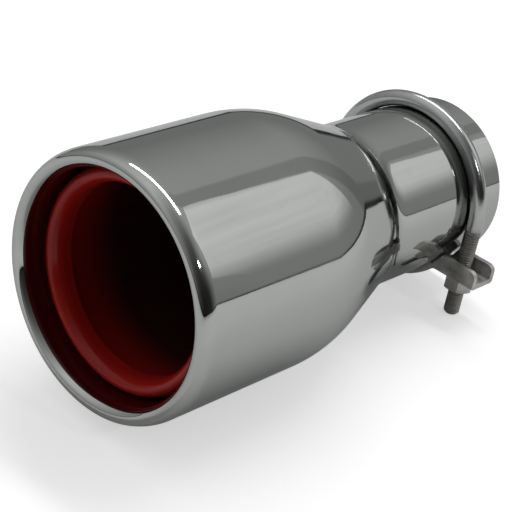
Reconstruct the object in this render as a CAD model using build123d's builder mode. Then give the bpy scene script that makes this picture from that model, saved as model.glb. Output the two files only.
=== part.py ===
from build123d import *
from math import atan2, cos, degrees, radians, sin, sqrt, tan
import os

# Exhaust tip: a rolled-mouth shell, a set-back inner sleeve and an inlet tube with a U-bolt clamp.
# All sizes are in millimetres. The tip's axis is Y: the mouth faces -Y and the tail pipe comes in
# from +Y. The origin is the centre of the inlet tube's rear end, and +Z is up, with the clamp's
# legs pointing down.

# Stations along the axis, measured forwards from the tube's rear end
overall_length = 171.2
weld_station = 64.5
collar_station = 62.0
clamp_station = 18.0

# Outer shell
shell_radius = 45.0
shell_wall = 1.0
shell_shoulder_round = 60.0
shell_cone_slope = 20.0
shell_neck_round = 6.0
shell_collar_length = 1.1
lip_ease_round = 10.0
lip_nose_round = 2.0
lip_fold_round = 5.0
lip_hem = 14.0

# Turns of a rolled front edge: how far it eases in before its nose, and folds back after it
lip_ease_turn = 25.0
lip_fold_turn = 40.0

# Inner sleeve, behind the mouth
sleeve_setback = 8.6
sleeve_radius = 38.0
sleeve_wall = 0.8
sleeve_shoulder_round = 60.0
sleeve_cone_slope = 14.0
sleeve_neck_round = 20.0
sleeve_collar_length = 17.0
sleeve_ease_round = 8.0
sleeve_nose_round = 2.2
sleeve_fold_round = 6.0
sleeve_hem = 3.0

# Inlet tube, with a slot under the clamp that lets it close on the tail pipe
tube_bore_radius = 29.2
tube_wall = 1.3
tube_insertion = 14.2
slot_width = 3.0
slot_length = 34.0

# Ring of weld over the rear edge of the collars
weld_crown = 1.3
weld_front_round = 6.0
weld_crest_round = 4.0
weld_toe_round = 9.0
weld_slope = 38.0

# U-bolt clamp
rod_diameter = 6.0
leg_length = 37.4
leg_chamfer = 0.8
saddle_wall = 2.0
saddle_width = 13.0
saddle_bend = 3.0
saddle_edge_round = 1.2
ear_depth = 21.4
ear_overhang = 9.6
ear_flange_height = 7.0
ear_corner_round = 2.5
nut_across_flats = 10.0
nut_height = 5.2
nut_chamfer_slope = 30.0

# Clearances
fit_gap = 0.05
leg_hole_gap = 0.3
thread_gap = 0.05
ear_flange_gap = 0.6

# Sizes that follow from those above
tube_radius = tube_bore_radius + tube_wall
sleeve_collar_radius = tube_radius + fit_gap + sleeve_wall
shell_collar_radius = sleeve_collar_radius + fit_gap + shell_wall
tube_length = collar_station + tube_insertion
shell_neck_station = collar_station + shell_collar_length
sleeve_front = overall_length - sleeve_setback
sleeve_neck_station = collar_station + sleeve_collar_length
weld_crest_radius = shell_collar_radius + weld_crown
rod_radius = rod_diameter / 2
clamp_radius = tube_radius + fit_gap
leg_spacing = clamp_radius + rod_radius
ear_end = leg_spacing + ear_overhang

# Plane through the tip's axis: sketch x is the radius, sketch y runs along +Y
section_plane = Plane.XY

# Planes of the clamp: one across the tube, one across the legs that looks down them
clamp_plane = Plane(origin=(0, -clamp_station, 0), x_dir=(1, 0, 0), z_dir=(0, -1, 0))
leg_plane = Plane(origin=(0, -clamp_station, 0), x_dir=(1, 0, 0), z_dir=(0, 0, -1))

os.makedirs("parts", exist_ok=True)


def cone_length(drop, crown, throat, slope):
    """Length in which a rounded crown, a straight cone and a rounded throat come down by drop."""
    turn = radians(slope)
    cone_drop = drop - (crown + throat) * (1 - cos(turn))
    return (crown + throat) * sin(turn) + cone_drop / tan(turn)


def cone_lines(upper_radius, upper_back, lower_radius, crown, throat, slope):
    """Lines of the crown, the cone and the throat that lead back to a smaller radius."""
    lower_front = upper_back + cone_length(upper_radius - lower_radius, crown, throat, slope)
    crown_arc = CenterArc((upper_radius - crown, upper_back), crown, 0, slope)
    throat_arc = CenterArc((lower_radius + throat, lower_front), throat, 180 + slope, -slope)
    Line(crown_arc @ 1, throat_arc @ 0)


def spun_sheet(wall, barrel, collar, shoulder, lip):
    """Section of a spun sheet: a front edge rolled inwards, a barrel, a cone and a collar."""
    radius, front = barrel
    collar_radius, neck_back, collar_back = collar
    crown, throat, slope = shoulder
    ease, nose, fold, hem = lip
    barrel_back = neck_back - cone_length(radius - collar_radius, crown, throat, slope)
    barrel_front = front + nose + (ease - nose) * sin(radians(lip_ease_turn))
    ease_centre = Vector(radius - ease, barrel_front)
    nose_centre = ease_centre + Vector(ease - nose, 0).rotate(Axis.Z, -lip_ease_turn)
    fold_centre = nose_centre + Vector(fold - nose, 0).rotate(Axis.Z, lip_fold_turn)
    hem_radius = fold_centre.X - fold
    hem_back = fold_centre.Y + hem
    nose_turn = 180 - lip_ease_turn - lip_fold_turn
    with BuildSketch(section_plane) as sheet:
        with BuildLine():
            for inset in (0, wall):
                Line((hem_radius + inset, hem_back), (hem_radius + inset, fold_centre.Y))
                CenterArc(fold_centre, fold - inset, 180, lip_fold_turn)
                CenterArc(nose_centre, nose - inset, 180 + lip_fold_turn, nose_turn)
                CenterArc(ease_centre, ease - inset, -lip_ease_turn, lip_ease_turn)
                Line((radius - inset, barrel_front), (radius - inset, barrel_back))
                cone_lines(
                    radius - inset, barrel_back, collar_radius - inset, crown - inset, throat + inset, slope
                )
                Line((collar_radius - inset, neck_back), (collar_radius - inset, collar_back))
            Line((hem_radius, hem_back), (hem_radius + wall, hem_back))
            Line((collar_radius, collar_back), (collar_radius - wall, collar_back))
        make_face()
    return sheet.sketch


# Outer shell: the whole barrel, shoulder and neck in one spun sheet
with BuildPart() as outer_shell:
    add(
        spun_sheet(
            wall=shell_wall,
            barrel=(shell_radius, -overall_length),
            collar=(shell_collar_radius, -shell_neck_station, -collar_station),
            shoulder=(shell_shoulder_round, shell_neck_round, shell_cone_slope),
            lip=(lip_ease_round, lip_nose_round, lip_fold_round, lip_hem),
        )
    )
    revolve(axis=Axis.Y)
outer_shell.part.label = "outer_shell"
export_step(outer_shell.part, "parts/outer_shell.step")

# Inner sleeve: held at its collar only, between the shell's collar and the tube
with BuildPart() as inner_sleeve:
    add(
        spun_sheet(
            wall=sleeve_wall,
            barrel=(sleeve_radius, -sleeve_front),
            collar=(sleeve_collar_radius, -sleeve_neck_station, -collar_station),
            shoulder=(sleeve_shoulder_round, sleeve_neck_round, sleeve_cone_slope),
            lip=(sleeve_ease_round, sleeve_nose_round, sleeve_fold_round, sleeve_hem),
        )
    )
    revolve(axis=Axis.Y)
inner_sleeve.part.label = "inner_sleeve"
export_step(inner_sleeve.part, "parts/inner_sleeve.step")

# Inlet tube: its front end lies inside both collars
with BuildPart() as inlet_tube:
    with BuildSketch(section_plane):
        with Locations((tube_bore_radius + tube_wall / 2, -tube_length / 2)):
            Rectangle(tube_wall, tube_length)
    revolve(axis=Axis.Y)
    with BuildSketch(Plane(origin=(0, 0, 0), x_dir=(0, 1, 0), z_dir=leg_plane.z_dir)):
        with Locations((slot_width / 2 - slot_length, 0)):
            Circle(slot_width / 2)
            Rectangle(slot_length, slot_width, align=(Align.MIN, Align.CENTER))
    extrude(amount=tube_radius + slot_width, mode=Mode.SUBTRACT)
inlet_tube.part.label = "inlet_tube"
export_step(inlet_tube.part, "parts/inlet_tube.step")

# Neck weld: a ridge that rises in a hollow from the shell's cone and runs out in a slope on the tube
with BuildPart() as neck_weld:
    outwards = Vector(1, 0).rotate(Axis.Z, shell_cone_slope)
    forwards = Vector(0, -1).rotate(Axis.Z, shell_cone_slope)
    neck_centre = Vector(shell_collar_radius + shell_neck_round, -shell_neck_station)
    crest_centre = Vector(weld_crest_radius - weld_crest_round, -weld_station)
    slope_length = cone_length(weld_crest_radius - tube_radius, weld_crest_round, weld_toe_round, weld_slope)
    with BuildSketch(section_plane):
        with BuildLine():
            neck_arc = CenterArc(neck_centre, shell_neck_round, 180, shell_cone_slope)
            cone_depth = (neck_arc @ 1 - crest_centre).dot(outwards)
            front_rise = cone_depth + weld_front_round
            front_run = sqrt((weld_crest_round + weld_front_round) ** 2 - front_rise**2)
            front_turn = degrees(atan2(front_run, front_rise))
            front_centre = crest_centre + forwards * front_run + outwards * front_rise
            crest_start = shell_cone_slope - front_turn
            front_arc = CenterArc(front_centre, weld_front_round, 180 + crest_start, front_turn)
            CenterArc(crest_centre, weld_crest_round, crest_start, -crest_start)
            cone_lines(
                weld_crest_radius, -weld_station, tube_radius, weld_crest_round, weld_toe_round, weld_slope
            )
            Line((tube_radius, slope_length - weld_station), (tube_radius, -collar_station))
            Line((tube_radius, -collar_station), (shell_collar_radius, -collar_station))
            Line((shell_collar_radius, -collar_station), (shell_collar_radius, -shell_neck_station))
            Line(neck_arc @ 1, front_arc @ 1)
        make_face()
    revolve(axis=Axis.Y)
neck_weld.part.label = "neck_weld"
export_step(neck_weld.part, "parts/neck_weld.step")

# U-bolt: a round rod bent over the tube, with two straight legs
with BuildPart() as u_bolt:
    with BuildLine(clamp_plane) as rod_path:
        Line((leg_spacing, -leg_length), (leg_spacing, 0))
        CenterArc((0, 0), leg_spacing, 0, 180)
        Line((-leg_spacing, 0), (-leg_spacing, -leg_length))
    with BuildSketch(leg_plane.offset(leg_length)):
        with Locations((leg_spacing, 0)):
            Circle(rod_radius)
    sweep(path=rod_path.wires()[0])
    chamfer(u_bolt.faces().filter_by(GeomType.PLANE).edges(), leg_chamfer)
u_bolt.part.label = "u_bolt"
export_step(u_bolt.part, "parts/u_bolt.step")

# Clamp saddle: a pressed strap that follows the tube and turns out into two channel-shaped ears
with BuildPart() as clamp_saddle:
    with BuildSketch(clamp_plane) as strap:
        Circle(clamp_radius + saddle_wall)
        with Locations((0, saddle_wall / 2 - ear_depth)):
            Rectangle(2 * ear_end, saddle_wall)
        Circle(clamp_radius, mode=Mode.SUBTRACT)
        with Locations((0, saddle_wall - ear_depth)):
            Rectangle(2 * ear_end, 2 * ear_end, align=(Align.CENTER, Align.MIN), mode=Mode.SUBTRACT)
        bends = strap.vertices().filter_by(lambda v: abs(v.X) < clamp_radius).group_by(Axis.Y)
        fillet(bends[0], saddle_bend)
        fillet(bends[1], saddle_bend + saddle_wall)
    extrude(amount=saddle_width / 2, both=True)
    with BuildSketch(
        clamp_plane.offset(saddle_width / 2 - saddle_wall),
        clamp_plane.offset(-saddle_width / 2),
    ) as ear_flanges:
        with Locations((0, -ear_depth)):
            Rectangle(2 * ear_end, ear_flange_height, align=(Align.CENTER, Align.MIN))
        Circle(tube_radius + ear_flange_gap, mode=Mode.SUBTRACT)
        corners = ear_flanges.vertices().group_by(Axis.Y)[-1].filter_by(lambda v: abs(v.X) > leg_spacing)
        fillet(corners, ear_corner_round)
    extrude(amount=saddle_wall)
    ear_undersides = clamp_saddle.faces().filter_by(Axis.Z).filter_by_position(
        Axis.Z, -ear_depth - fit_gap, -ear_depth + fit_gap
    )
    fillet(ear_undersides.edges().filter_by(Axis.X), saddle_edge_round)
    with BuildSketch(leg_plane):
        with Locations((leg_spacing, 0), (-leg_spacing, 0)):
            Circle(rod_radius + leg_hole_gap)
    extrude(amount=ear_depth + saddle_wall, mode=Mode.SUBTRACT)
clamp_saddle.part.label = "clamp_saddle"
export_step(clamp_saddle.part, "parts/clamp_saddle.step")

# One hex nut, with its bearing face on the ground plane
with BuildPart() as hex_nut:
    corner_radius = nut_across_flats / sqrt(3)
    chamfer_drop = (corner_radius - nut_across_flats / 2) * tan(radians(nut_chamfer_slope))
    with BuildSketch():
        RegularPolygon(nut_across_flats / 2, 6, major_radius=False)
        Circle(rod_radius + thread_gap, mode=Mode.SUBTRACT)
    extrude(amount=nut_height)
    with BuildSketch(Plane.XZ):
        Polygon(
            (0, 0),
            (nut_across_flats / 2, 0),
            (corner_radius, chamfer_drop),
            (corner_radius, nut_height - chamfer_drop),
            (nut_across_flats / 2, nut_height),
            (0, nut_height),
            align=None,
        )
    revolve(axis=Axis.Z, mode=Mode.INTERSECT)

# The two nuts of the clamp, one under each ear
with BuildPart() as clamp_nuts:
    with Locations(leg_plane.offset(ear_depth)):
        with Locations((leg_spacing, 0), (-leg_spacing, 0)):
            add(hex_nut.part)
clamp_nuts.part.label = "clamp_nuts"
export_step(clamp_nuts.part, "parts/clamp_nuts.step")
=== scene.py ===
from math import cos, pi, radians, sin, tan

import bpy
from mathutils import Matrix, Vector


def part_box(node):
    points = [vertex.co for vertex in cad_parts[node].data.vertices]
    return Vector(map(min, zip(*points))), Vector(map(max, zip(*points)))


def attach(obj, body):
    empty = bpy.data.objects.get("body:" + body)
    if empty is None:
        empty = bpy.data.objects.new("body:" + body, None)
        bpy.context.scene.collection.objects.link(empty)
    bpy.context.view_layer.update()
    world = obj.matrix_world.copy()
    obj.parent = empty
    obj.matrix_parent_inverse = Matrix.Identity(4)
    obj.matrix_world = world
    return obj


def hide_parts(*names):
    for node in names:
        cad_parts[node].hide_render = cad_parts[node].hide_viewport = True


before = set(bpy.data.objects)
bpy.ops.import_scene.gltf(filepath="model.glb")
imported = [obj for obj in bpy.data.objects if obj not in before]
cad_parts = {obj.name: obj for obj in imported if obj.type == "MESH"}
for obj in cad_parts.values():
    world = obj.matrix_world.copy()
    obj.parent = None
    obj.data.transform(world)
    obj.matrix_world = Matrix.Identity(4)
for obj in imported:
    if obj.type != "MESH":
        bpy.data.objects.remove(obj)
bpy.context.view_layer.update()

# The scene of an exhaust tip, in metres and in the CAD's frame: the axis is Y, the mouth faces -Y and
# +Z is up. The shell, the neck weld and the U-bolt are made again with finer forms. The other nodes
# stay as they are and get their finished materials.

# Places taken from the frame
shell_low, shell_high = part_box("outer_shell")
sleeve_low, sleeve_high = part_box("inner_sleeve")
tube_low, tube_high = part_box("inlet_tube")
bolt_low, bolt_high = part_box("u_bolt")
mouth_front = shell_low.y
shell_radius = shell_high.x
tube_radius = tube_high.x
rod_radius = (bolt_high.y - bolt_low.y) / 2
clamp_station = (bolt_high.y + bolt_low.y) / 2
bow_radius = bolt_high.x - rod_radius
leg_length = -bolt_low.z

# Outer shell: its sheet, the rounds and turns of its rolled mouth, its shoulder and its cone
sheet_wall = 0.0010
ease_round, nose_round, fold_round = 0.010, 0.0024, 0.0055
ease_turn, fold_turn = radians(25), radians(40)
hem_length = 0.014
shoulder_round = 0.060
cone_slope = radians(20)
shell_end = -0.0683

# Where the cone would round off into a collar: the collar's radius, its front station and the round
neck_radius, neck_station, neck_round = 0.0324, -0.0631, 0.006
cone_foot = Vector((
    neck_radius + neck_round * (1 - cos(cone_slope)),
    neck_station - neck_round * sin(cone_slope),
))

# Neck weld: how steeply it falls, in degrees, at stations along the axis
weld_slopes = [(shell_end, 20), (-0.0676, 22.2), (-0.0632, 22.2), (-0.0620, 19)]
weld_slopes += [(-0.0600, 11.5), (-0.0580, 4), (-0.0560, 0)]

# The weld's inner faces, close to the tube and to the sleeve's collar
weld_seat = tube_radius + 0.000002
collar_radius = tube_radius + 0.00087
collar_back = sleeve_high.y + 0.00005

# Thread of the clamp's legs, the shape of its groove, and the chamfer on the leg's end
thread_pitch = 0.001
thread_depth = 0.00055
thread_length = 0.0357
thread_runout = 0.0016
thread_top = thread_length - leg_length
groove_steepness = 1.6
groove_crest = 0.3
leg_chamfer = 0.0008

# Steps of the meshes, and the angle from which an edge of the rod is sharp
turned_steps = 256
ease_steps, nose_steps, fold_steps, shoulder_steps = 10, 24, 8, 16
slope_steps = 12
rod_steps = 48
pitch_steps, plain_steps, bow_steps = 10, 24, 96
crease_angle = radians(50)

# The lip is plated, and the lacquer starts on its inner fold
lacquer_edge = mouth_front + 0.0019

# The sleeve's lacquer thins out between these stations and leaves dark steel deep inside; this darkening with
# depth is partly painted shade of the deep recess
lacquer_fade_and_painted_shade = (sleeve_low.y + 0.010, sleeve_low.y + 0.034)

# Colours
chrome_light = (0.500, 0.516, 0.494)
chrome_dark = (0.457, 0.474, 0.452)
chrome_edge = (0.84, 0.86, 0.86)
lacquer_bright = (0.43, 0.0152, 0.0088)
lacquer_deep = (0.30, 0.0100, 0.0072)
# The shell's inside wall is red lacquer, darkened here to painted shade for the recess behind the lip
wall_painted_shade_light = (0.075, 0.0024, 0.0032)
wall_painted_shade_dark = (0.046, 0.0015, 0.0022)
# Dark steel deep in the sleeve, made darker as painted shade of the recess
dark_steel_and_painted_shade = (0.045, 0.010, 0.008)
bare_steel = (0.10, 0.085, 0.075)
rod_light = (0.54, 0.55, 0.55)
rod_dark = (0.40, 0.41, 0.40)
# The threads' darker tones stand for grime and for painted shade in the grooves
thread_light = (0.38, 0.375, 0.355)
thread_dark = (0.22, 0.215, 0.20)
saddle_light = (0.68, 0.67, 0.65)
saddle_dark = (0.24, 0.225, 0.205)
nut_light = (0.70, 0.69, 0.67)
nut_dark = (0.26, 0.25, 0.23)
floor_light = (0.70, 0.70, 0.70)
floor_dark = (0.66, 0.66, 0.66)
white = (1, 1, 1)

# Noise patterns: scale, detail and, where it isn't even, the stretch along each axis
plating_smudge = (45, 4.0)
lining_grain = (240, 2.0)
spinning_wave = (30, 1.0, (1, 2.0, 1))
lacquer_tone = (60, 3.0)
orange_peel = (420, 2.0)
rod_patch = (120, 3.0)
rod_grain = (1400, 2.0)
steel_stain = (160, 4.0)
steel_grain = (1800, 2.0)
floor_tone = (3, 2.0)
cloth_folds = (1.0, 4.0, (2.5, 9.0, 1.0))

# The range in which most of a noise pattern lies
noise_middle = (0.3, 0.7)

# Roughness, as a range over a pattern or as one value
plating_roughness = (0.035, 0.070)
lining_roughness = (0.16, 0.26)
lacquer_roughness = (0.28, 0.38)
rod_roughness = (0.12, 0.24)
thread_roughness = 0.38
steel_roughness = (0.30, 0.48)
floor_roughness = 0.9

# Depth of the relief
wave_relief = 0.00005
peel_relief = 0.00003
rod_relief = 0.00002
steel_relief = 0.00004

# Share of metal in the finish, and the lacquer's gloss
steel_metal = 0.85
bare_metal = 0.6
lacquer_sheen = 0.1
coat_weight = 0.3
coat_roughness = 0.06

# At rest the tip leans on its shoulder and its two legs, so the floor slopes in the tip's own frame
floor_slope = radians(4.77)
floor_contact = Vector((0, clamp_station + rod_radius - leg_chamfer, -leg_length))

# How far the floor reaches to each side, forwards and backwards
floor_side, floor_front, floor_back = 4.0, 4.0, 0.50

# Light that the floor adds: to the camera, and in mirrors. There it is dim under the tip and on its -X
# side, and grows over a range of X beside the tip and over a range of Y before it.
floor_lift = 0.52
floor_glow, floor_dim_glow = 0.14, 0.03
glow_beside = (0.04, 0.22)
glow_before = (-0.17, -0.30)

# Tones of the room as stops of a position and a grey. Height 0.5 is the horizon, across runs from -X to
# +X, and depth blends from the front to the rear.
height_stops = [(0.470, 0.243), (0.478, 0.04), (0.497, 0.04), (0.505, 0.275)]
height_stops += [(0.62, 0.29), (0.85, 0.454), (1.0, 0.502)]
front_stops = [(0.0, 1.218), (0.40, 1.554), (0.60, 0.777), (0.80, 0.273), (1.0, 0.063)]
rear_stops = [(0.10, 0.92), (0.36, 1.03), (0.46, 1.02), (0.475, 0.76)]
rear_stops += [(0.555, 0.76), (0.57, 1.05), (0.86, 1.15), (0.97, 0.10)]
depth_stops = [(0.52, 0.0), (0.72, 1.0)]

# Lamps face the middle of the tip. The folds of a lamp's cloth shade it by this range.
lamp_target = Vector((0, mouth_front / 2, 0))
fold_shade = (0.86, 1.14)

# Camera: its angles in degrees, and where the mouth's centre falls in a picture 512 pixels wide
picture_width = 512
focal_pixels = 1594
sensor_width = 36
camera_azimuth, camera_elevation, camera_roll = 37.88, 28.46, 11.68
mouth_pixel = (102.7, 290.8)
mouth_centre = Vector((0, mouth_front + 0.0010, 0))
mouth_depth = 0.4928


# Helpers

def add_object(name, data):
    """A new object in the scene."""
    new_object = bpy.data.objects.new(name, data)
    bpy.context.scene.collection.objects.link(new_object)
    return new_object


def heading(azimuth, elevation):
    """Direction at two angles in degrees. Azimuth 0 is the mouth's side, and 90 is +X."""
    level = cos(radians(elevation))
    return Vector((
        sin(radians(azimuth)) * level,
        -cos(radians(azimuth)) * level,
        sin(radians(elevation)),
    ))


class Graph:
    """A node tree, with short calls for the nodes that are used again and again."""

    def __init__(self, tree):
        self.nodes = tree.nodes
        self.links = tree.links

    def feed(self, socket, value):
        """Give an input another node's output, a number, or a colour of red, green and blue."""
        if isinstance(value, bpy.types.NodeSocket):
            self.links.new(value, socket)
        elif isinstance(value, tuple):
            socket.default_value = (*value, 1)
        else:
            socket.default_value = value

    def axes(self, place):
        """The coordinates of a place: outputs X, Y and Z."""
        node = self.nodes.new("ShaderNodeSeparateXYZ")
        self.feed(node.inputs["Vector"], place)
        return node.outputs

    def noise(self, place, scale, detail, stretch=(1, 1, 1)):
        """A noise pattern over a place, stretched along its axes."""
        mapping = self.nodes.new("ShaderNodeMapping")
        mapping.inputs["Scale"].default_value = stretch
        self.feed(mapping.inputs["Vector"], place)
        texture = self.nodes.new("ShaderNodeTexNoise")
        texture.inputs["Scale"].default_value = scale
        texture.inputs["Detail"].default_value = detail
        self.feed(texture.inputs["Vector"], mapping.outputs["Vector"])
        return texture.outputs["Fac"]

    def remap(self, value, source, target=(0, 1), smooth=False):
        """The source range mapped on the target range, and held at its ends."""
        node = self.nodes.new("ShaderNodeMapRange")
        if smooth:
            node.interpolation_type = "SMOOTHSTEP"
        limits = {"From Min": source[0], "From Max": source[1], "To Min": target[0], "To Max": target[1]}
        for name, limit in limits.items():
            node.inputs[name].default_value = limit
        self.feed(node.inputs["Value"], value)
        return node.outputs["Result"]

    def blend(self, factor, first, second, data_type="RGBA"):
        """A colour, or for FLOAT a number, between first and second."""
        node = self.nodes.new("ShaderNodeMix")
        node.data_type = data_type
        for name, value in (("Factor", factor), ("A", first), ("B", second)):
            self.feed(node.inputs[name], value)
        return node.outputs["Result"]

    def arithmetic(self, operation, *values):
        """One Math node."""
        node = self.nodes.new("ShaderNodeMath")
        node.operation = operation
        for socket, value in zip(node.inputs, values):
            self.feed(socket, value)
        return node.outputs["Value"]

    def grey_ramp(self, value, stops):
        """Greys over a value, from a list of (position, grey)."""
        ramp = self.nodes.new("ShaderNodeValToRGB")
        elements = ramp.color_ramp.elements
        while len(elements) < len(stops):
            elements.new(0.5)
        for element, (position, grey) in zip(elements, stops):
            element.position = position
            element.color = (grey, grey, grey, 1)
        self.feed(ramp.inputs["Fac"], value)
        return ramp.outputs["Color"]

    def bump(self, shader, height, depth):
        """Relief of the given depth on a shader."""
        node = self.nodes.new("ShaderNodeBump")
        node.inputs["Strength"].default_value = 1.0
        node.inputs["Distance"].default_value = depth
        self.feed(node.inputs["Height"], height)
        self.feed(shader.inputs["Normal"], node.outputs["Normal"])

    def inside_mask(self, place, front):
        """1 on faces that look towards the tip's axis, behind the station front, and 0 elsewhere."""
        flatten = self.nodes.new("ShaderNodeVectorMath")
        flatten.operation = "MULTIPLY"
        flatten.inputs[1].default_value = (1, 0, 1)
        self.feed(flatten.inputs[0], place)
        facing = self.nodes.new("ShaderNodeVectorMath")
        facing.operation = "DOT_PRODUCT"
        self.feed(facing.inputs[0], flatten.outputs["Vector"])
        self.feed(facing.inputs[1], self.nodes.new("ShaderNodeNewGeometry").outputs["Normal"])
        inwards = self.arithmetic("LESS_THAN", facing.outputs["Value"], 0.0)
        behind = self.arithmetic("GREATER_THAN", self.axes(place)["Y"], front)
        return self.arithmetic("MULTIPLY", inwards, behind)


# Materials

def new_material(name):
    """A node material: (material, graph, Principled shader, place in the object's own coordinates)."""
    material = bpy.data.materials.new(name)
    material.use_nodes = True
    graph = Graph(material.node_tree)
    place = graph.nodes.new("ShaderNodeTexCoord").outputs["Object"]
    return material, graph, graph.nodes["Principled BSDF"], place


def chrome(name, inside_front, inside_tones, inside_metal):
    """Bright plating with faint smudges and spinning waves, and another finish on the inside, which on the
    shell is dark red painted shade.
    """
    material, graph, shader, place = new_material(name)
    inside = graph.inside_mask(place, inside_front)
    smudge = graph.noise(place, *plating_smudge)
    grain = graph.noise(place, *lining_grain)
    plating = graph.blend(smudge, chrome_dark, chrome_light)
    # On the shell the lining's dark red is painted shade of the recess behind the lip
    lining_and_painted_shade = graph.blend(grain, *inside_tones)
    graph.feed(shader.inputs["Base Color"], graph.blend(inside, plating, lining_and_painted_shade))
    graph.feed(shader.inputs["Metallic"], graph.blend(inside, 1.0, inside_metal, "FLOAT"))
    graph.feed(shader.inputs["Specular Tint"], chrome_edge)
    polish = graph.remap(smudge, noise_middle, plating_roughness)
    gloss = graph.remap(grain, noise_middle, lining_roughness)
    graph.feed(shader.inputs["Roughness"], graph.blend(inside, polish, gloss, "FLOAT"))
    graph.bump(shader, graph.noise(place, *spinning_wave), wave_relief)
    return material


def red_lacquer(name):
    """Glossy red lacquer with slight orange peel, that thins out to dark steel with depth; the darkening is
    partly painted shade.
    """
    material, graph, shader, place = new_material(name)
    tone = graph.noise(place, *lacquer_tone)
    red = graph.blend(tone, lacquer_deep, lacquer_bright)
    # Darker with depth: partly bare steel, partly painted shade deep inside the sleeve
    depth = graph.remap(graph.axes(place)["Y"], lacquer_fade_and_painted_shade, smooth=True)
    graph.feed(shader.inputs["Base Color"], graph.blend(depth, red, dark_steel_and_painted_shade))
    graph.feed(shader.inputs["Roughness"], graph.remap(tone, noise_middle, lacquer_roughness))
    graph.feed(shader.inputs["Specular IOR Level"], lacquer_sheen)
    graph.feed(shader.inputs["Coat Weight"], coat_weight)
    graph.feed(shader.inputs["Coat Roughness"], coat_roughness)
    graph.bump(shader, graph.noise(place, *orange_peel), peel_relief)
    return material


def plated_rod(name):
    """Bright zinc plating with dull patches, that is darker and rougher on the threads, where the darkness is
    grime and painted shade.
    """
    material, graph, shader, place = new_material(name)
    patch = graph.noise(place, *rod_patch)
    thread_edge = (thread_top + thread_runout, thread_top - thread_runout)
    thread = graph.remap(graph.axes(place)["Z"], thread_edge)
    plating = graph.blend(patch, rod_dark, rod_light)
    # On the threads the darker colour is partly grime, partly painted shade in the grooves
    thread_grime_and_shade = graph.blend(patch, thread_dark, thread_light)
    graph.feed(shader.inputs["Base Color"], graph.blend(thread, plating, thread_grime_and_shade))
    graph.feed(shader.inputs["Metallic"], 1.0)
    polish = graph.remap(patch, noise_middle, rod_roughness)
    graph.feed(shader.inputs["Roughness"], graph.blend(thread, polish, thread_roughness, "FLOAT"))
    graph.bump(shader, graph.noise(place, *rod_grain), rod_relief)
    return material


def dull_steel(name, dark, light):
    """Dull plated pressed steel with a fine grain and darker stains."""
    material, graph, shader, place = new_material(name)
    stain = graph.noise(place, *steel_stain)
    worn = graph.remap(stain, noise_middle)
    graph.feed(shader.inputs["Base Color"], graph.blend(worn, dark, light))
    graph.feed(shader.inputs["Metallic"], steel_metal)
    graph.feed(shader.inputs["Roughness"], graph.remap(stain, noise_middle, steel_roughness))
    graph.bump(shader, graph.noise(place, *steel_grain), steel_relief)
    return material


def dress(node, material):
    """Give a CAD node its finished material."""
    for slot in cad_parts[node].material_slots:
        slot.material = material


# The shell's inside tones are painted shade, laid on its red-lacquered wall
shell_chrome = chrome("shell_chrome", lacquer_edge, (wall_painted_shade_dark, wall_painted_shade_light), inside_metal=0.0)
tube_chrome = chrome("tube_chrome", tube_low.y, (bare_steel, bare_steel), inside_metal=bare_metal)
dress("inlet_tube", tube_chrome)
dress("inner_sleeve", red_lacquer("sleeve_lacquer"))
dress("clamp_saddle", dull_steel("saddle_steel", saddle_dark, saddle_light))
dress("clamp_nuts", dull_steel("nut_steel", nut_dark, nut_light))


# Shell and neck weld, turned about the tip's axis. A section's points are (radius, station).

def add_piece(name, mesh, material, node):
    """Put a finished mesh in the place of a CAD node."""
    mesh.materials.append(material)
    piece = add_object(name, mesh)
    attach(piece, "root")
    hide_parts(node)


def arc_strip(centre, radius, start, turn, steps):
    """Points of an arc of the section, each with its normal."""
    strip = []
    for k in range(steps + 1):
        angle = start + turn * k / steps
        normal = Vector((cos(angle), sin(angle)))
        strip.append((centre + normal * radius, normal))
    return strip


def straight_strip(first, second):
    """A straight line of the section, with its normal on the right of its way."""
    along = (second - first).normalized()
    normal = Vector((along.y, -along.x))
    return [(first, normal), (second, normal)]


def turned_piece(name, strips, material, node):
    """A closed ring turned from smooth strips of its section, each starting where the last one ends."""
    points = [point for strip in strips for point, normal in strip[:-1]]
    count = len(points)
    angles = [2 * pi * ring / turned_steps for ring in range(turned_steps)]
    turns = [(cos(angle), sin(angle)) for angle in angles]
    vertices = [(point.x * aside, point.y, point.x * up) for aside, up in turns for point in points]
    faces = []
    normals = []
    first = 0
    for strip in strips:
        for k in range(len(strip) - 1):
            low, high = first + k, (first + k + 1) % count
            for ring in range(turned_steps):
                after = (ring + 1) % turned_steps
                corners = [(low, ring, k), (high, ring, k + 1), (high, after, k + 1), (low, after, k)]
                faces.append([turn * count + index for index, turn, station in corners])
                for index, turn, station in corners:
                    normal = strip[station][1]
                    aside, up = turns[turn]
                    normals.append((normal.x * aside, normal.y, normal.x * up))
        first += len(strip) - 1
    mesh = bpy.data.meshes.new(name)
    mesh.from_pydata(vertices, [], faces)
    mesh.shade_smooth()
    mesh.normals_split_custom_set(normals)
    add_piece(name, mesh, material, node)


def cone_radius(station):
    """The shell's outer radius on its cone."""
    return cone_foot.x + (cone_foot.y - station) * tan(cone_slope)


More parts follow.
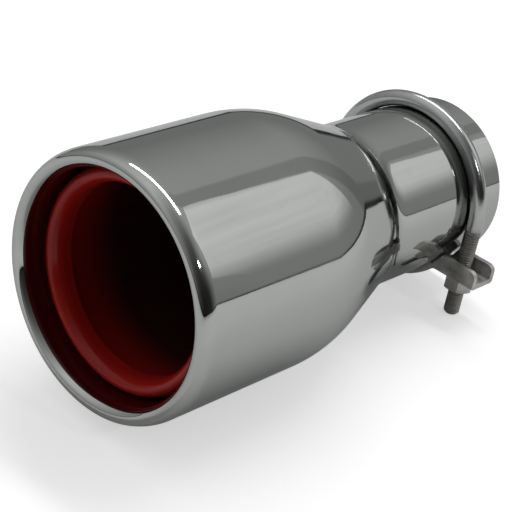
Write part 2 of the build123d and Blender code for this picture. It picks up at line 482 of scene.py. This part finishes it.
def spun_shell(material):
    """The shell's sheet: inner wall, rolled mouth, barrel, shoulder and cone, which ends at the weld."""
    ease_back = mouth_front + nose_round + (ease_round - nose_round) * sin(ease_turn)
    ease_centre = Vector((shell_radius - ease_round, ease_back))
    nose_way = Vector((cos(ease_turn), -sin(ease_turn)))
    nose_centre = ease_centre + nose_way * (ease_round - nose_round)
    nose_turn = pi - ease_turn - fold_turn
    fold_way = Vector((cos(fold_turn), sin(fold_turn)))
    fold_centre = nose_centre + fold_way * (fold_round - nose_round)
    cone_front_radius = shell_radius - shoulder_round * (1 - cos(cone_slope))
    cone_front = cone_foot.y - (cone_front_radius - cone_foot.x) / tan(cone_slope)
    shoulder_front = cone_front - shoulder_round * sin(cone_slope)
    shoulder_centre = Vector((shell_radius - shoulder_round, shoulder_front))
    outer = [(fold_centre + Vector((-fold_round, hem_length)), Vector((-1, 0)))]
    outer += arc_strip(fold_centre, fold_round, pi, fold_turn, fold_steps)
    outer += arc_strip(nose_centre, nose_round, pi + fold_turn, nose_turn, nose_steps)[1:]
    outer += arc_strip(ease_centre, ease_round, -ease_turn, ease_turn, ease_steps)[1:]
    outer += arc_strip(shoulder_centre, shoulder_round, 0, cone_slope, shoulder_steps)
    outer += [(Vector((cone_radius(shell_end), shell_end)), outer[-1][1])]
    inner = [(point - normal * sheet_wall, -normal) for point, normal in reversed(outer)]
    rear_edge = straight_strip(outer[-1][0], inner[0][0])
    hem_edge = straight_strip(inner[-1][0], outer[0][0])
    strips = [outer, rear_edge, inner, hem_edge]
    turned_piece("spun_shell", strips, material, "outer_shell")


def neck_fillet(material):
    """The dressed weld: it goes on from the shell's cone, falls a little steeper and runs out on the tube."""
    point = Vector((cone_radius(shell_end), shell_end))
    top = [(point, Vector((cos(cone_slope), sin(cone_slope))))]
    for (start, start_slope), (end, end_slope) in zip(weld_slopes, weld_slopes[1:]):
        stride = (end - start) / slope_steps
        for k in range(1, slope_steps + 1):
            middle = radians(start_slope + (end_slope - start_slope) * (k - 0.5) / slope_steps)
            slope = radians(start_slope + (end_slope - start_slope) * k / slope_steps)
            point = point + Vector((-stride * tan(middle), stride))
            top.append((point, Vector((cos(slope), sin(slope)))))
    corners = [point, Vector((weld_seat, point.y)), Vector((weld_seat, collar_back))]
    corners += [Vector((collar_radius, collar_back)), Vector((collar_radius, shell_end)), top[0][0]]
    strips = [top] + [straight_strip(first, second) for first, second in zip(corners, corners[1:])]
    turned_piece("neck_fillet", strips, material, "neck_weld")


spun_shell(shell_chrome)
neck_fillet(shell_chrome)


# U-bolt with its threads

def leg_station(side, depth):
    """One station of a leg, like those of rod_stations."""
    centre = Vector((side * bow_radius, clamp_station, -depth))
    return centre, Vector((side, 0, 0)), leg_length - depth


def rod_stations():
    """Stations along the rod: (centre, outward direction, distance from the nearer end)."""
    stride = thread_pitch / pitch_steps
    depths = [leg_length - k * stride for k in range(int(thread_length / stride))]
    depths += [-thread_top * (1 - k / plain_steps) for k in range(plain_steps)]
    stations = [leg_station(1, depth) for depth in depths]
    for k in range(bow_steps + 1):
        angle = pi * k / bow_steps
        outward = Vector((cos(angle), 0, sin(angle)))
        centre = outward * bow_radius + Vector((0, clamp_station, 0))
        stations.append((centre, outward, leg_length))
    stations += [leg_station(-1, depth) for depth in reversed(depths)]
    return stations


def thread_cut(distance, turn):
    """Depth of the thread's groove at a distance from the rod's end and a turn around it, 0 to 1."""
    phase = (distance / thread_pitch + turn) % 1.0
    flank = groove_steepness * (1 - abs(2 * phase - 1)) - groove_crest
    groove = min(1.0, max(0.0, flank))
    fade = min(1.0, max(0.0, (thread_length - distance) / thread_runout))
    return thread_depth * groove * fade


def threaded_u_bolt(material):
    """The bent rod, with a helical thread cut into both legs and chamfered ends."""
    axis = Vector((0, 1, 0))
    turns = [k / rod_steps for k in range(rod_steps)]
    vertices = []
    for centre, outward, distance in rod_stations():
        chamfered = rod_radius - max(0.0, leg_chamfer - distance)
        for turn in turns:
            radius = min(chamfered, rod_radius - thread_cut(distance, turn))
            direction = outward * cos(2 * pi * turn) + axis * sin(2 * pi * turn)
            vertices.append(centre + direction * radius)
    last_ring = len(vertices) - rod_steps
    faces = []
    for ring in range(0, last_ring, rod_steps):
        for k in range(rod_steps):
            a = ring + k
            b = ring + (k + 1) % rod_steps
            faces.append((a, b, b + rod_steps, a + rod_steps))
    faces.append(tuple(reversed(range(rod_steps))))
    faces.append(tuple(range(last_ring, len(vertices))))
    mesh = bpy.data.meshes.new("threaded_u_bolt")
    mesh.from_pydata(vertices, [], faces)
    mesh.validate()
    mesh.shade_smooth()
    mesh.set_sharp_from_angle(angle=crease_angle)
    add_piece("threaded_u_bolt", mesh, material, "u_bolt")


threaded_u_bolt(plated_rod("rod_plating"))


# Floor, room and lamps

def pale_floor():
    """A plain table under the tip that keeps its shadow, white to the camera and grey in mirrors."""
    mesh = bpy.data.meshes.new("floor")
    corners = [(-floor_side, -floor_front, 0), (floor_side, -floor_front, 0)]
    corners += [(floor_side, floor_back, 0), (-floor_side, floor_back, 0)]
    mesh.from_pydata(corners, [], [(0, 1, 2, 3)])
    floor = add_object("floor", mesh)
    floor.matrix_world = Matrix.Translation(floor_contact) @ Matrix.Rotation(floor_slope, 4, "X")
    material, graph, shader, place = new_material("floor_white")
    tone = graph.noise(place, *floor_tone)
    graph.feed(shader.inputs["Base Color"], graph.blend(tone, floor_dark, floor_light))
    graph.feed(shader.inputs["Roughness"], floor_roughness)
    graph.feed(shader.inputs["Specular IOR Level"], 0.0)
    rays = graph.nodes.new("ShaderNodeLightPath").outputs
    seen = graph.arithmetic("MULTIPLY", rays["Is Camera Ray"], floor_lift)
    axes = graph.axes(place)
    beside = graph.remap(axes["X"], glow_beside, smooth=True)
    before = graph.remap(axes["Y"], glow_before, smooth=True)
    away = graph.arithmetic("MAXIMUM", beside, before)
    glow = graph.blend(away, floor_dim_glow, floor_glow, "FLOAT")
    mirrored = graph.arithmetic("MAXIMUM", rays["Is Glossy Ray"], rays["Is Transmission Ray"])
    mirrored = graph.arithmetic("MULTIPLY", mirrored, glow)
    graph.feed(shader.inputs["Emission Color"], white)
    graph.feed(shader.inputs["Emission Strength"], graph.arithmetic("ADD", seen, mirrored))
    mesh.materials.append(material)


def studio_world():
    """A plain room, white to the camera and grey in mirrors.

    It has a dark line at the floor's end and grows paler upwards. Its front is bright on the -X side and
    dim on the +X side.
    """
    world = bpy.data.worlds.new("studio")
    bpy.context.scene.world = world
    world.use_nodes = True
    graph = Graph(world.node_tree)
    axes = graph.axes(graph.nodes.new("ShaderNodeTexCoord").outputs["Generated"])
    across, along, height = [graph.remap(axes[name], (-1, 1)) for name in "XYZ"]
    front = graph.grey_ramp(across, front_stops)
    rear = graph.grey_ramp(across, rear_stops)
    walls = graph.blend(graph.grey_ramp(along, depth_stops), front, rear)
    room = graph.blend(1.0, graph.grey_ramp(height, height_stops), walls)
    room.node.blend_type = "MULTIPLY"
    seen = graph.nodes.new("ShaderNodeLightPath").outputs["Is Camera Ray"]
    graph.feed(graph.nodes["Background"].inputs["Color"], graph.blend(seen, room, white))


def soft_lamp(name, azimuth, elevation, distance, size, power, fade=0.0, aside=0.0):
    """A rectangular area lamp that faces the tip.

    The share of its height given by fade dims softly towards its lower edge, and its cloth then shows
    folds. Aside moves it along X without turning it.
    """
    direction = heading(azimuth, elevation)
    data = bpy.data.lights.new(name, "AREA")
    data.shape = "RECTANGLE"
    data.size, data.size_y = size
    data.energy = power
    lamp = add_object(name, data)
    lamp.location = lamp_target + direction * distance + Vector((aside, 0, 0))
    lamp.rotation_euler = direction.to_track_quat("Z", "Y").to_euler()
    if fade:
        data.use_nodes = True
        graph = Graph(data.node_tree)
        place = graph.nodes.new("ShaderNodeNewGeometry").outputs["Parametric"]
        height = graph.remap(graph.axes(place)["Y"], (0, fade), smooth=True)
        folds = graph.remap(graph.noise(place, *cloth_folds), noise_middle, fold_shade)
        cloth = graph.arithmetic("MULTIPLY", folds, height)
        graph.feed(graph.nodes["Emission"].inputs["Strength"], cloth)


pale_floor()
studio_world()
soft_lamp("rear_softbox", azimuth=146, elevation=32, distance=1.0, size=(0.576, 0.81), power=0.66, fade=0.42)
soft_lamp("top_strip", azimuth=180, elevation=73, distance=2.0, size=(1.95, 0.20), power=18, aside=-0.42)
soft_lamp("side_window", azimuth=92, elevation=36, distance=1.2, size=(0.06, 0.09), power=1.1)


# Camera at the photograph's angle

def photo_camera():
    """The camera, set so that the mouth's centre falls on its pixel."""
    data = bpy.data.cameras.new("camera")
    data.sensor_width = sensor_width
    data.lens = focal_pixels / picture_width * sensor_width
    camera = add_object("camera", data)
    azimuth, roll = radians(camera_azimuth), radians(camera_roll)
    back = heading(camera_azimuth, camera_elevation)
    flat_right = Vector((cos(azimuth), sin(azimuth), 0))
    flat_up = back.cross(flat_right)
    right = flat_right * cos(roll) + flat_up * sin(roll)
    up = back.cross(right)
    across = (mouth_pixel[0] - picture_width / 2) / focal_pixels
    down = (mouth_pixel[1] - picture_width / 2) / focal_pixels
    place = mouth_centre + mouth_depth * (back - across * right + down * up)
    camera.matrix_world = Matrix.Translation(place) @ Matrix((right, up, back)).transposed().to_4x4()
    bpy.context.scene.camera = camera


photo_camera()
bpy.context.scene.view_settings.view_transform = "Standard"
